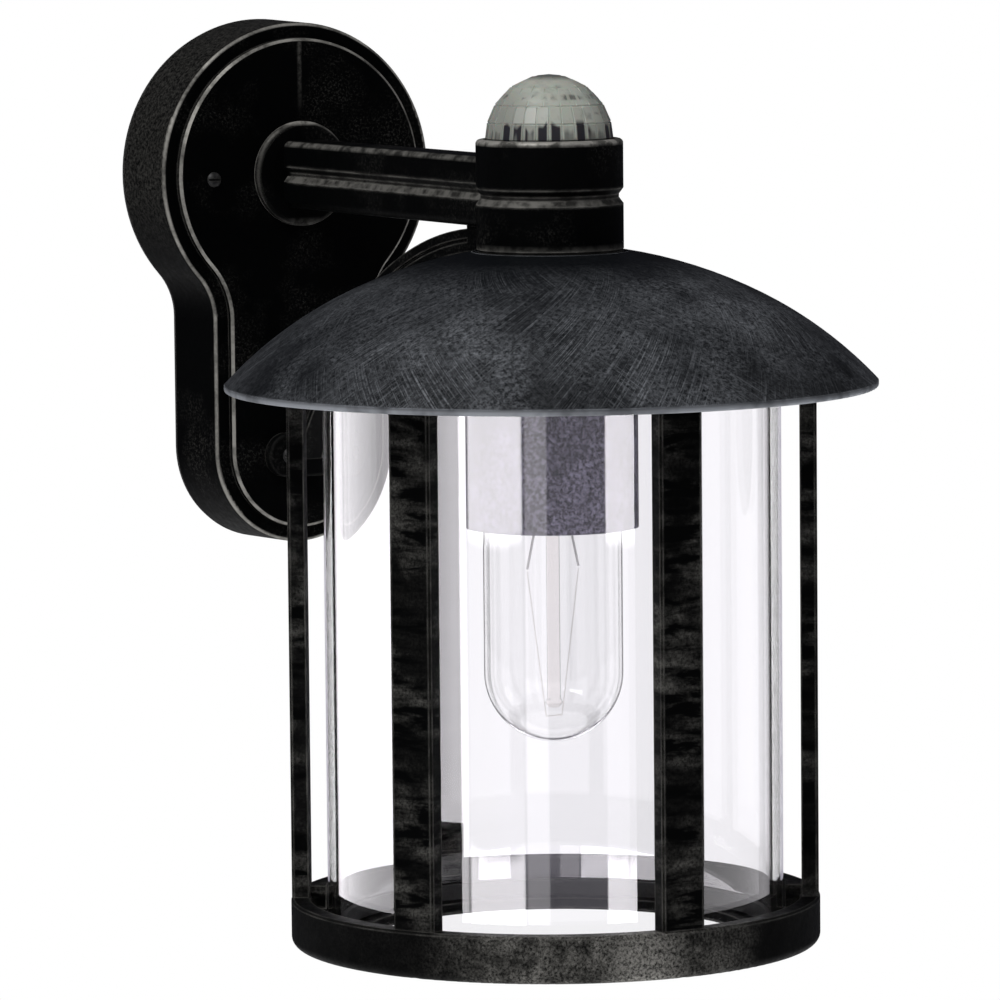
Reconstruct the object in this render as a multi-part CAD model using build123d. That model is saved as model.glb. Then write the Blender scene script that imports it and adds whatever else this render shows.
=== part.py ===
from build123d import *
import os
from math import asin, cos, sin, sqrt

# Outdoor wall lantern, in millimetres. The origin is on the wall, level with the arm.
# +Y runs into the wall, +X to the right of someone who faces the wall, +Z up.

# ---- fits ---------------------------------------------------------------------------
FIT = 0.05                   # radial clearance of screws, studs and turning pieces
LOOSE = 0.4                  # radial clearance of pieces that slide past each other
PAST = 1.0                   # how far a cut runs on past the face it opens

# ---- wall plate: a keyhole outline, a circle with a round-ended stem ----------------
PLATE_R = 53.0
STEM_HALF = 33.7
STEM_END_Z = -96.0           # centre of the stem's round end
THROAT_R = 22.0              # hollow curve between circle and stem
PLATE_FRONT = 31.0           # distances from the wall, along -Y
PLATE_BACK = 2.0
PLATE_WALL = 3.2
PLATE_DRAFT = 1.2            # degrees
PLATE_EDGE_R = 1.6
PANEL_FRONT = 33.7
PANEL_INSET = 6.0
PANEL_EDGE = 0.9
GASKET_INSET = 0.5
GASKET_W = 5.0
STEEL_INSET = 7.0
WALL_SCREW_R = 2.75
WALL_SCREW_TOP_Z = 36.0
WALL_SCREW_PITCH = 120.0
CABLE_Z = -24.0
CABLE_R = 4.0
GROMMET_NECK_R = 9.5
GROMMET_FLANGE_R = 12.5
GROMMET_FRONT = 5.0
PLATE_SCREW_X = 34.0
PLATE_SCREW_Z = -1.0
PLATE_SCREW_R = 1.5
PLATE_SCREW_L = 20.0
PLATE_SCREW_HEAD = (2.6, 1.5)  # radius, height
STANDOFF_R = 4.6

# ---- terminals ----------------------------------------------------------------------
BLOCK_W = 30.0
BLOCK_FRONT = 14.0
BLOCK_LOW = -70.5
BLOCK_TOP = -53.5
POLE_PITCH = 8.0
POLE_Y = -8.0
POLE_HOLE_R = 1.7
POLE_SCREW_R = 2.1
POLE_SCREW_ZS = (-57.5, -66.5)
POLE_SCREW_DEEP = 4.0
EARTH_X = -20.0
EARTH_Z = -40.0
EARTH_SCREW_L = 1.8
EARTH_SCREW_HEAD = (4.0, 2.8)
LEAD_R = 1.0
LEAD_X = 1.4                 # half the spacing of a pair of leads
LEAD_Y = -14.0               # where the leads climb behind the panel
LEAD_LEAVES_Z = -44.0        # they leave the poles here
LEAD_MEETS_Z = -18.0         # and run as a pair from here

# ---- arm and collar -----------------------------------------------------------------
AXIS_Y = -207.0              # the lantern's own axis
ARM_W = 16.0
ARM_H = 23.4
ARM_EDGE_R = 3.0
GROOVE_H = 5.2
GROOVE_FLOOR_H = 1.2
GROOVE_D = 1.5
WIRE_WAY_R = 3.75
FLANGE_R = 18.25
FLANGE_T = 2.6
FLANGE_EDGE_R = 1.4
ARM_SCREW_Z = 7.9
ARM_SCREW_R = 2.0
ARM_SCREW_IN_ARM = 12.0
ARM_SCREW_HEAD = (3.4, 2.4)
COLLAR_R = 24.1
COLLAR_TOP = 18.6
COLLAR_BOTTOM = -18.0
COLLAR_FLOOR = -14.0
COLLAR_LIP_R = 1.5
COLLAR_FOOT = 0.8
COLLAR_BORE_R = 19.0
LENS_SEAT_Z = 12.0
LENS_SEAT_R = 21.6

# ---- curved stay under the arm ------------------------------------------------------
STAY_W = 9.5
STAY_R = 166.0
STAY_PEAK_Z = -12.0          # highest point of its outer curve
STAY_PEAK_T = 30.0           # distances T run from the lantern's axis to the wall
STAY_START_T = 24.4
STAY_END_T = 171.0
STAY_INNER = ((24.4, -19.8), (100.0, -36.0), (171.0, -102.5))
STAY_LUG_END_T = 47.0
STAY_BEAD = 3.2              # depth of the side groove below the outer curve
STAY_BEAD_W = 1.3
STAY_BEAD_D = 0.8
STAY_ROOF_GAP = 0.6
STAY_SCREW_T = 38.0
STAY_SCREW_R = 1.75
STAY_SCREW_HEAD = (2.8, 1.9)
STAY_SCREW_SEAT_Z = -15.6
STAY_SCREW_HOLE_TOP = -4.8
STAY_LUG_H = 5.0
FOOT_Z = -98.0
FOOT_L = 31.0
FOOT_H = 15.5
FOOT_T = 4.0
FOOT_EDGE_R = 1.2
FOOT_SCREW_X = 7.7

# ---- roof: two tangent arcs of revolution -------------------------------------------
ROOF_R = 107.0
ROOF_APEX_Z = -15.93
CROWN_R = 153.5
CROWN_END_R = 70.0
SHOULDER_R = 134.3
ROOF_T = 2.2
RIM_BOTTOM_Z = -62.8
RIM_W = 2.5
RIM_EDGE_R = 0.8
CROWN_FLAT_R = 25.5
CROWN_FLAT_Z = -18.6
BOSS_R = 5.0
BOSS_LOW = -52.3
STUD_COUNT = 3
STUD_AT_R = 81.2
STUD_R = 2.0
STUD_TOP = -46.0
STUD_LOW = -64.5

# ---- lampholder ---------------------------------------------------------------------
NIPPLE_R = 5.0
NIPPLE_BORE_R = 3.2
NIPPLE_TOP = -9.8
NIPPLE_LOW = -54.5
NUT_T = 4.0
NUT_CORNER_R = 8.1
WASHER_T = 0.8
COVER_R = 28.3
COVER_T = 1.5
COVER_EDGE_R = 4.0
COVER_LOW = -108.5
HOLDER_R = 19.5
HOLDER_NECK_R = 11.0
HOLDER_TOP = -47.0
HOLDER_LOW = -92.0
HOLDER_BORE_R = 14.6
HOLDER_BORE_TOP = -66.5
CONTACT_POCKET_R = 7.0
CONTACT_POCKET_TOP = -63.8
HOLDER_WIRE_R = 3.4
HOLDER_ENTRY_LOW = -56.0
THREAD_PITCH = 3.6

# ---- lamp ---------------------------------------------------------------------------
BULB_R = 22.9
BULB_T = 0.9
BULB_NECK_R = 11.7
BULB_NECK_TOP = -84.0
BULB_FLARE_TOP = -93.0
BULB_FLARE_LOW = -106.5
BULB_END = -179.3
CAP_R = 13.0
CAP_ROOT_R = 12.4
CAP_BORE_R = 12.0
CAP_TOP = -73.0
CAP_LOW = -92.0
CAP_EYE_R = 6.0
ROD_R = 2.2
ROD_LOW = -168.0
WIRE_R = 0.4
FILAMENT_R = 0.25

# ---- glass and cage -----------------------------------------------------------------
GLASS_R = 75.0
GLASS_T = 4.0
GLASS_TOP = -58.0
GLASS_LOW = -236.7
GLASS_EDGE = 0.5
CAGE_R = 86.6
BAR_COUNT = 6
BAR_FIRST = 268.2            # one bar faces almost straight out from the wall
BAR_W = 15.3
BAR_T = 5.6
BAR_EDGE = 0.8
TOE_IN_R = 75.4
TOE_TOP = -226.7
TOE_LOW = -234.5
TOE_W = 8.0
TOP_RING_IN_R = 66.0
TOP_RING_LOW = -56.5
TOP_RING_HIGH = -52.5
SEAL_IN_R = 69.5
SEAL_OUT_R = 76.3
RING_R = 87.1
RING_IN_R = 81.1
RING_TOP = -230.2
RING_LOW = -245.7
RING_EDGE = 0.8
RING_FOOT_R = 3.0
LEDGE_TOP = -241.7
LEDGE_IN_R = 63.0
BAR_SCREW_AT_R = 82.9
BAR_SCREW_R = 1.25
BAR_SCREW_HEAD_R = 2.3
BAR_SCREW_HEAD_H = 1.8
BAR_HOLE_DEEP = 12.0
COUNTERBORE_R = 2.6
COUNTERBORE_DEEP = 3.0
THUMB_NUT_R = 4.6
THUMB_NUT_H = 5.8
KNURLS = 16

# ---- movement sensor ----------------------------------------------------------------
BOARD_LOW = 6.0
BOARD_T = 1.6
BOARD_R = 17.5
PILLAR_X = 14.5
PILLAR_R = 2.8
BOARD_SCREW_R = 1.15
LENS_R = 21.0
LENS_T = 1.2
LENS_SEAL_T = 0.8
DIAL_X = 9.5
DIAL_Y = -7.0
DIAL_R = 2.6
DIAL_H = 4.0
DIAL_SOCKET_W = 7.0
DIAL_SOCKET_H = 3.4

BOARD_TOP = BOARD_LOW + BOARD_T
UNDER_ROOF = CROWN_FLAT_Z - ROOF_T
ROOF_LEAN = asin(CROWN_END_R / CROWN_R)
BAR_ANGLES = [BAR_FIRST + i * 360.0 / BAR_COUNT for i in range(BAR_COUNT)]
STUD_ANGLES = [i * 360.0 / STUD_COUNT for i in range(STUD_COUNT)]


# ---- helpers ------------------------------------------------------------------------
def keep(name, *solids):
    """Write one node: a single solid, or a group of like solids."""
    shape = solids[0] if len(solids) == 1 else Compound(children=list(solids))
    export_step(shape, f"parts/{name}.step")


def turned(*edges):
    """Revolve a closed outline of (radius, z) edges about the lantern's axis."""
    outline = Plane.XZ * make_face(edges)
    return Pos(0, AXIS_Y, 0) * revolve(outline, Axis.Z)


def turned_polygon(*points):
    """Revolve a straight-sided (radius, z) outline about the lantern's axis."""
    return turned(*Polyline(*points, close=True).edges())


def path(*points):
    """The straight edges that join (radius, z) points."""
    return Polyline(*points).edges()


def quarter(start, end, centre):
    """The quarter circle from start to end."""
    middle = tuple(c + (s + e - 2 * c) * sqrt(0.5) for s, e, c in zip(start, end, centre))
    return ThreePointArc(start, middle, end)


def tube(r_in, r_out, low, high):
    """A ring about the lantern's axis."""
    return turned_polygon((r_in, low), (r_out, low), (r_out, high), (r_in, high))


def upright(radius, low, high, x=0.0, y=0.0):
    """A round bar along Z, placed from the lantern's axis."""
    return Pos(x, AXIS_Y + y, (low + high) / 2) * Cylinder(radius, high - low)


def around(shape, angles):
    """Copies of a shape, turned about the lantern's axis."""
    to_axis = Pos(0, AXIS_Y, 0)
    return [to_axis * Rot(0, 0, angle) * to_axis.inverse() * shape for angle in angles]


def wall_bar(radius, near, far, x=0.0, z=0.0):
    """A round bar along Y between two distances from the wall."""
    return Pos(x, -(near + far) / 2, z) * Rot(90, 0, 0) * Cylinder(radius, far - near)


def from_wall(sketch, near, far, taper=0.0):
    """Extrude a sketch drawn on the wall between two distances from the wall."""
    return extrude(Plane.XZ.offset(near) * sketch, far - near, taper=taper)


def block(size, low_corner):
    """A box from its size and its lowest corner."""
    return Pos(*low_corner) * Box(*size, align=(Align.MIN, Align.MIN, Align.MIN))


def screw(shank_r, length, head_r, head_h, slot_w=0.9):
    """A slotted dome-head screw: head above Z = 0, shank below."""
    edge = 0.3 * head_h
    dome = ThreePointArc((head_r, edge), (0.72 * head_r, 0.78 * head_h), (0, head_h))
    stem = path((0, head_h), (0, -length), (shank_r, -length), (shank_r, 0), (head_r, 0),
                (head_r, edge))
    solid = revolve(Plane.XZ * make_face([*stem, dome]), Axis.Z)
    return solid - Pos(0, 0, head_h) * Box(3 * head_r, slot_w, head_h)


def wall_screw(x, near, z, shank_r, length, head_r, head_h):
    """A screw whose head faces away from the wall."""
    return Pos(x, -near, z) * Rot(90, 0, 0) * screw(shank_r, length, head_r, head_h)


def hexagon(corner_r, bore_r, low, high):
    """A hexagonal nut on the lantern's axis."""
    sketch = RegularPolygon(corner_r, 6) - Circle(bore_r)
    return Pos(0, AXIS_Y, low) * extrude(sketch, high - low)


def lead(*points, radii):
    """An insulated lead along straight runs joined by tangent arcs."""
    route = FilletPolyline(*points, radius=radii)
    start = Plane(origin=route @ 0, z_dir=route % 0)
    return sweep(start * Circle(LEAD_R), path=route)


# ---- wall plate ---------------------------------------------------------------------
def keyhole(inset):
    """The plate's outline, moved inwards by inset."""
    head, half, throat = PLATE_R - inset, STEM_HALF - inset, THROAT_R + inset
    throat_x = half + throat
    throat_z = -sqrt((head + throat) ** 2 - throat_x ** 2)
    share = head / (head + throat)
    meet = (throat_x * share, throat_z * share)
    bisect = (meet[0] + half - 2 * throat_x, meet[1] - throat_z)
    size = sqrt(bisect[0] ** 2 + bisect[1] ** 2)
    mid = (throat_x + throat * bisect[0] / size, throat_z + throat * bisect[1] / size)
    end = STEM_END_Z
    left = [(-x, z) for x, z in (meet, mid)]
    return make_face([
        ThreePointArc(meet, (0, head), left[0]),
        ThreePointArc(left[0], left[1], (-half, throat_z)),
        Line((-half, throat_z), (-half, end)),
        ThreePointArc((-half, end), (0, end - half), (half, end)),
        Line((half, end), (half, throat_z)),
        ThreePointArc((half, throat_z), mid, meet),
    ])


def make_wall_plate():
    shell = from_wall(keyhole(0), PLATE_BACK, PLATE_FRONT, PLATE_DRAFT)
    rim = shell.faces().sort_by(Axis.Y)[0].edges()
    shell = fillet(rim, PLATE_EDGE_R)
    panel = from_wall(keyhole(PANEL_INSET), PLATE_FRONT - PAST, PANEL_FRONT)
    panel = chamfer(panel.faces().sort_by(Axis.Y)[0].edges(), PANEL_EDGE)
    plate = shell + panel - from_wall(keyhole(PLATE_WALL), 0, PLATE_FRONT - PLATE_WALL)
    front = PANEL_FRONT + PAST
    plate -= wall_bar(WIRE_WAY_R, 0, front)
    for side in (-1, 1):
        plate -= wall_bar(ARM_SCREW_R + FIT, 0, front, z=side * ARM_SCREW_Z)
        plate -= wall_bar(PLATE_SCREW_R + FIT, 0, front, side * PLATE_SCREW_X, PLATE_SCREW_Z)
        plate -= wall_bar(STAY_SCREW_R + FIT, 0, front, side * FOOT_SCREW_X, FOOT_Z)
    keep("wall_plate", plate)


def make_back_plate():
    plate = from_wall(keyhole(STEEL_INSET), 0, PLATE_BACK)
    front = PLATE_BACK + PAST
    for z in (WALL_SCREW_TOP_Z, WALL_SCREW_TOP_Z - WALL_SCREW_PITCH):
        plate -= wall_bar(WALL_SCREW_R, -PAST, front, z=z)
    plate -= wall_bar(GROMMET_NECK_R, -PAST, front, z=CABLE_Z)
    plate -= wall_bar(PLATE_SCREW_R + FIT, -PAST, front, EARTH_X, EARTH_Z)
    keep("back_plate", plate)


def make_wall_fittings():
    seal = keyhole(GASKET_INSET) - keyhole(GASKET_INSET + GASKET_W)
    keep("wall_gasket", from_wall(seal, 0, PLATE_BACK))

    neck = wall_bar(GROMMET_NECK_R - FIT, 0, PLATE_BACK, z=CABLE_Z)
    flange = wall_bar(GROMMET_FLANGE_R, PLATE_BACK, GROMMET_FRONT, z=CABLE_Z)
    bore = wall_bar(CABLE_R, -PAST, GROMMET_FRONT + PAST, z=CABLE_Z)
    keep("cable_grommet", neck + flange - bore)

    pillar = RegularPolygon(STANDOFF_R, 6) - Circle(PLATE_SCREW_R + FIT)
    inside = PLATE_FRONT - PLATE_WALL
    sides = (-PLATE_SCREW_X, PLATE_SCREW_X)
    places = [Pos(x, PLATE_SCREW_Z) * pillar for x in sides]
    keep("standoffs", *[from_wall(place, PLATE_BACK, inside) for place in places])
    keep("plate_screws", *[
        wall_screw(x, PANEL_FRONT, PLATE_SCREW_Z, PLATE_SCREW_R, PLATE_SCREW_L, *PLATE_SCREW_HEAD)
        for x in sides])


def make_terminals():
    poles = [i * POLE_PITCH for i in (-1, 0, 1)]
    body = block((BLOCK_W, BLOCK_FRONT - PLATE_BACK, BLOCK_TOP - BLOCK_LOW),
                 (-BLOCK_W / 2, -BLOCK_FRONT, BLOCK_LOW))
    screws = []
    for x in poles:
        body -= Pos(x, POLE_Y, BLOCK_TOP) * Cylinder(POLE_HOLE_R, 10)
        for z in POLE_SCREW_ZS:
            pocket_floor = BLOCK_FRONT - POLE_SCREW_DEEP
            body -= wall_bar(POLE_SCREW_R + FIT, pocket_floor, BLOCK_FRONT + PAST, x, z)
            slot = Pos(x, PAST - BLOCK_FRONT, z) * Box(5, 1.4, 0.7)
            screws.append(wall_bar(POLE_SCREW_R, pocket_floor, BLOCK_FRONT - PAST, x, z) - slot)
    keep("terminal_block", body)
    keep("terminal_screws", *screws)
    keep("earth_screw", wall_screw(
        EARTH_X, PLATE_BACK, EARTH_Z, PLATE_SCREW_R, EARTH_SCREW_L, *EARTH_SCREW_HEAD))


def make_leads():
    start_z = BLOCK_TOP - POLE_SCREW_DEEP
    board_y = AXIS_Y + 12.0
    for name, pole_x, x in (("supply_live_lead", 0, -LEAD_X),
                            ("supply_neutral_lead", POLE_PITCH, LEAD_X)):
        keep(name, lead(
            (pole_x, POLE_Y, start_z), (pole_x, POLE_Y, LEAD_LEAVES_Z), (x, LEAD_Y, LEAD_MEETS_Z),
            (x, LEAD_Y, 0), (x, board_y, 0), (x, board_y, BOARD_LOW),
            radii=[12.0, 12.0, 10.0, 5.5]))
    keep("earth_lead", lead(
        (-POLE_PITCH, POLE_Y, start_z), (-POLE_PITCH, POLE_Y, LEAD_LEAVES_Z - 5.0),
        (EARTH_X + 6.0, POLE_Y + 3.5, EARTH_Z), (EARTH_X + 4.1, POLE_Y + 3.5, EARTH_Z),
        radii=[6.0, 1.8]))
    for name, x in (("lamp_live_lead", -LEAD_X), ("lamp_neutral_lead", LEAD_X)):
        keep(name, upright(LEAD_R, CONTACT_POCKET_TOP, BOARD_LOW, x))


# ---- arm and stay -------------------------------------------------------------------
def arm_section():
    """The arm's section: a rounded oblong with a groove along each side."""
    section = RectangleRounded(ARM_W, ARM_H, ARM_EDGE_R)
    for side in (-1, 1):
        outer, inner = side * ARM_W, side * (ARM_W / 2 - GROOVE_D)
        mouth = GROOVE_H / 2 + (GROOVE_H - GROOVE_FLOOR_H) / 2 * (ARM_W / 2) / GROOVE_D
        section -= make_face(Polyline(
            (outer, mouth), (inner, GROOVE_FLOOR_H / 2), (inner, -GROOVE_FLOOR_H / 2),
            (outer, -mouth), close=True))
    return section


def collar_blank():
    """The collar before it is bored: a groove round its middle and a rounded lip."""
    lip = COLLAR_R - COLLAR_LIP_R
    shoulder = COLLAR_TOP - COLLAR_LIP_R
    floor_r = COLLAR_R - GROOVE_D
    outline = path(
        (lip, COLLAR_TOP), (0, COLLAR_TOP), (0, COLLAR_BOTTOM),
        (COLLAR_R - COLLAR_FOOT, COLLAR_BOTTOM), (COLLAR_R, COLLAR_BOTTOM + COLLAR_FOOT),
        (COLLAR_R, -GROOVE_H / 2), (floor_r, -GROOVE_FLOOR_H / 2),
        (floor_r, GROOVE_FLOOR_H / 2), (COLLAR_R, GROOVE_H / 2), (COLLAR_R, shoulder))
    return turned(*outline, quarter((COLLAR_R, shoulder), (lip, COLLAR_TOP), (lip, shoulder)))


def make_arm():
    arm = from_wall(arm_section(), PANEL_FRONT, -AXIS_Y) + collar_blank()
    flange = wall_bar(FLANGE_R, PANEL_FRONT, PANEL_FRONT + FLANGE_T)
    arm += fillet(flange.faces().sort_by(Axis.Y)[0].edges(), FLANGE_EDGE_R)
    arm -= upright(COLLAR_BORE_R, COLLAR_FLOOR, COLLAR_TOP + PAST)
    arm -= upright(LENS_SEAT_R, LENS_SEAT_Z, COLLAR_TOP + PAST)
    for side in (-1, 1):
        pillar = upright(PILLAR_R, COLLAR_FLOOR - PAST, BOARD_LOW, side * PILLAR_X)
        arm += pillar - upright(BOARD_SCREW_R + FIT, -2, BOARD_LOW, side * PILLAR_X)
        depth = PANEL_FRONT + ARM_SCREW_IN_ARM + 2
        arm -= wall_bar(ARM_SCREW_R + FIT, PANEL_FRONT - PAST, depth, z=side * ARM_SCREW_Z)
    arm -= upright(NIPPLE_R + FIT, COLLAR_BOTTOM - PAST, COLLAR_FLOOR + PAST)
    arm -= wall_bar(WIRE_WAY_R, PANEL_FRONT - PAST, -AXIS_Y - COLLAR_BORE_R + 5)
    arm -= upright(STAY_SCREW_R + FIT, -ARM_H / 2 - PAST, STAY_SCREW_HOLE_TOP, y=STAY_SCREW_T)
    keep("arm", arm)

    inside = PLATE_FRONT - PLATE_WALL
    length = PANEL_FRONT - inside + ARM_SCREW_IN_ARM
    turn = Rot(-90, 0, 0) * screw(ARM_SCREW_R, length, *ARM_SCREW_HEAD)
    keep("arm_screws", *[Pos(0, -inside, z) * turn for z in (-ARM_SCREW_Z, ARM_SCREW_Z)])


def stay_side():
    """The stay's side view on the plane X = 0."""
    centre_z = STAY_PEAK_Z - STAY_R

    def outer(t):
        return AXIS_Y + t, centre_z + sqrt(STAY_R ** 2 - (t - STAY_PEAK_T) ** 2)

    start, end = outer(STAY_START_T), outer(STAY_END_T)
    inner = [(AXIS_Y + t, z) for t, z in STAY_INNER]
    return make_face([
        ThreePointArc(start, outer(100.0), end), Line(end, inner[2]),
        ThreePointArc(inner[2], inner[1], inner[0]), Line(inner[0], start)])


def make_stay():
    stay = extrude(Plane.YZ * stay_side(), STAY_W / 2, both=True)
    lug_l = STAY_LUG_END_T - STAY_START_T
    lug_top = -ARM_H / 2
    lug_corner = (-STAY_W / 2, AXIS_Y + STAY_START_T, lug_top - STAY_LUG_H)
    stay += block((STAY_W, lug_l, STAY_LUG_H), lug_corner)
    centre = (AXIS_Y + STAY_PEAK_T, STAY_PEAK_Z - STAY_R)
    bead = Circle(STAY_R - STAY_BEAD) - Circle(STAY_R - STAY_BEAD - STAY_BEAD_W)
    bead = Plane.YZ * Pos(*centre) * bead
    reach = block((STAY_W * 2, STAY_END_T - STAY_LUG_END_T - 4.0, 120.0),
                  (-STAY_W, AXIS_Y + STAY_LUG_END_T, -125.0))
    for side in (-1, 1):
        groove = Pos(side * STAY_W / 2, 0, 0) * extrude(bead, STAY_BEAD_D, both=True)
        stay -= groove & reach
    roof_sphere = Pos(0, AXIS_Y, ROOF_APEX_Z - CROWN_R) * Sphere(CROWN_R + STAY_ROOF_GAP)
    stay -= roof_sphere & upright(60.0, -80.0, 0.0)
    pad = from_wall(Pos(0, FOOT_Z) * SlotOverall(FOOT_L, FOOT_H), PANEL_FRONT, PANEL_FRONT + FOOT_T)
    stay += fillet(pad.faces().sort_by(Axis.Y)[0].edges(), FOOT_EDGE_R)
    for side in (-1, 1):
        stay -= wall_bar(STAY_SCREW_R + FIT, 30, 45, side * FOOT_SCREW_X, FOOT_Z)
    stay -= upright(STAY_SCREW_R + FIT, -30, 0, y=STAY_SCREW_T)
    stay -= upright(STAY_SCREW_HEAD[0] + LOOSE, -30, STAY_SCREW_SEAT_Z, y=STAY_SCREW_T)
    keep("stay", stay)

    keep("stay_foot_screws", *[
        wall_screw(x, PANEL_FRONT + FOOT_T, FOOT_Z, STAY_SCREW_R, 9.0, *STAY_SCREW_HEAD)
        for x in (-FOOT_SCREW_X, FOOT_SCREW_X)])
    length = STAY_SCREW_HOLE_TOP - STAY_SCREW_SEAT_Z - 0.2
    turn = Rot(180, 0, 0) * screw(STAY_SCREW_R, length, *STAY_SCREW_HEAD)
    keep("stay_top_screw", Pos(0, AXIS_Y + STAY_SCREW_T, STAY_SCREW_SEAT_Z) * turn)


# ---- roof ---------------------------------------------------------------------------
def dome_z(r, inset=0.0):
    """Height of the roof's surface at radius r, moved inwards by inset."""
    crown_z = ROOF_APEX_Z - CROWN_R
    if r <= CROWN_END_R - inset * sin(ROOF_LEAN) + 1e-6:
        return crown_z + sqrt((CROWN_R - inset) ** 2 - r ** 2)
    centre_r = (CROWN_R - SHOULDER_R) * sin(ROOF_LEAN)
    centre_z = crown_z + (CROWN_R - SHOULDER_R) * cos(ROOF_LEAN)
    return centre_z + sqrt((SHOULDER_R - inset) ** 2 - (r - centre_r) ** 2)


def dome_arcs(r_start, r_end, inset=0.0):
    """The crown's arc and the shoulder's arc between two radii."""
    join = CROWN_END_R - inset * sin(ROOF_LEAN)
    spans = ((r_start, join), (join, r_end))
    return [ThreePointArc(*[(r, dome_z(r, inset)) for r in (a, (a + b) / 2, b)]) for a, b in spans]


def make_roof():
    hole_r = NIPPLE_R + FIT
    inner_end = ROOF_R - RIM_W
    centre_z = ROOF_APEX_Z - CROWN_R
    inner_start = sqrt((CROWN_R - ROOF_T) ** 2 - (UNDER_ROOF - centre_z) ** 2)
    rim_r, rim_z = ROOF_R - RIM_EDGE_R, RIM_BOTTOM_Z + RIM_EDGE_R
    shell = turned(
        *path((inner_start, UNDER_ROOF), (hole_r, UNDER_ROOF), (hole_r, CROWN_FLAT_Z),
              (CROWN_FLAT_R, CROWN_FLAT_Z), (CROWN_FLAT_R, dome_z(CROWN_FLAT_R))),
        *dome_arcs(CROWN_FLAT_R, ROOF_R),
        Line((ROOF_R, dome_z(ROOF_R)), (ROOF_R, rim_z)),
        quarter((ROOF_R, rim_z), (rim_r, RIM_BOTTOM_Z), (rim_r, rim_z)),
        *path((rim_r, RIM_BOTTOM_Z), (inner_end, RIM_BOTTOM_Z), (inner_end, dome_z(inner_end, ROOF_T))),
        *dome_arcs(inner_start, inner_end, ROOF_T))
    under = turned(*dome_arcs(0, 100.0, ROOF_T / 2), *path(
        (100.0, dome_z(100.0, ROOF_T / 2)), (100.0, -70.0), (0, -70.0), (0, dome_z(0, ROOF_T / 2))))
    boss = upright(BOSS_R, BOSS_LOW, -25.0, x=STUD_AT_R) & under
    hole = upright(STUD_R + FIT, BOSS_LOW - 1, STUD_TOP, x=STUD_AT_R)
    roof = shell
    for solid in around(boss, STUD_ANGLES):
        roof += solid
    for solid in around(hole, STUD_ANGLES):
        roof -= solid
    keep("roof", roof)
    keep("roof_gasket", tube(NIPPLE_R + 1, COLLAR_R - 0.4, CROWN_FLAT_Z, COLLAR_BOTTOM))
    stud = upright(STUD_R, STUD_LOW, STUD_TOP - 0.2, x=STUD_AT_R)
    keep("roof_studs", *around(stud, STUD_ANGLES))


# ---- lampholder ---------------------------------------------------------------------
def wavy(crest_r, root_r, low, high):
    """(radius, z) points of a rolled thread, drawn as rings, from low to high."""
    count = int((high - low) / THREAD_PITCH)
    step = (high - low) / (2 * count)
    return [(crest_r if i % 2 == 0 else root_r, low + i * step) for i in range(2 * count + 1)]


def make_nipple_and_cover():
    keep("nipple", tube(NIPPLE_BORE_R, NIPPLE_R, NIPPLE_LOW, NIPPLE_TOP))
    washer_top = UNDER_ROOF - COVER_T
    nut_top = washer_top - WASHER_T
    bore = NIPPLE_R + FIT
    keep("nipple_nuts", hexagon(NUT_CORNER_R, bore, COLLAR_FLOOR, COLLAR_FLOOR + NUT_T),
         hexagon(NUT_CORNER_R, bore, nut_top - NUT_T, nut_top))
    tooth = block((3.0, 1.6, WASHER_T), (6.6, AXIS_Y - 0.8, nut_top))
    washer = tube(bore, 7.8, nut_top, washer_top)
    for solid in around(tooth, [i * 30.0 for i in range(12)]):
        washer += solid
    keep("lock_washer", washer)

    edge, out, deep = COVER_EDGE_R, COVER_R, COVER_R - COVER_T
    top = UNDER_ROOF
    low_top = top - COVER_T
    bend_r, bend_z = out - edge, top - edge
    keep("socket_cover", turned(
        *path((bore, low_top), (bore, top), (bend_r, top)),
        quarter((bend_r, top), (out, bend_z), (bend_r, bend_z)),
        *path((out, bend_z), (out, COVER_LOW), (deep, COVER_LOW), (deep, bend_z)),
        quarter((deep, bend_z), (bend_r, low_top), (bend_r, bend_z)),
        *path((bend_r, low_top), (bore, low_top))))


def make_lampholder():
    entry = NIPPLE_R + FIT
    keep("lampholder_body", turned_polygon(
        (entry, HOLDER_TOP), (HOLDER_NECK_R, HOLDER_TOP), (HOLDER_NECK_R, HOLDER_TOP - 5),
        (HOLDER_R, HOLDER_TOP - 11), (HOLDER_R, HOLDER_LOW + 2), (HOLDER_R - 1.5, HOLDER_LOW),
        (HOLDER_BORE_R, HOLDER_LOW), (HOLDER_BORE_R, HOLDER_BORE_TOP),
        (CONTACT_POCKET_R, HOLDER_BORE_TOP), (CONTACT_POCKET_R, CONTACT_POCKET_TOP),
        (HOLDER_WIRE_R, CONTACT_POCKET_TOP), (HOLDER_WIRE_R, HOLDER_ENTRY_LOW),
        (entry, HOLDER_ENTRY_LOW)))
    out = HOLDER_BORE_R - FIT
    rings = wavy(CAP_R + 1.0, CAP_R + 0.5, HOLDER_LOW + 1.5, HOLDER_BORE_TOP - 1.5)
    keep("lampholder_thread", turned_polygon((out, rings[0][1]), *rings, (out, rings[-1][1])))
    keep("lampholder_contact", turned_polygon(
        (0, CONTACT_POCKET_TOP), (6.6, CONTACT_POCKET_TOP), (6.6, CONTACT_POCKET_TOP - 1.2),
        (2.8, CONTACT_POCKET_TOP - 1.8), (2.0, -67.6), (0, -67.6)))


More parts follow.
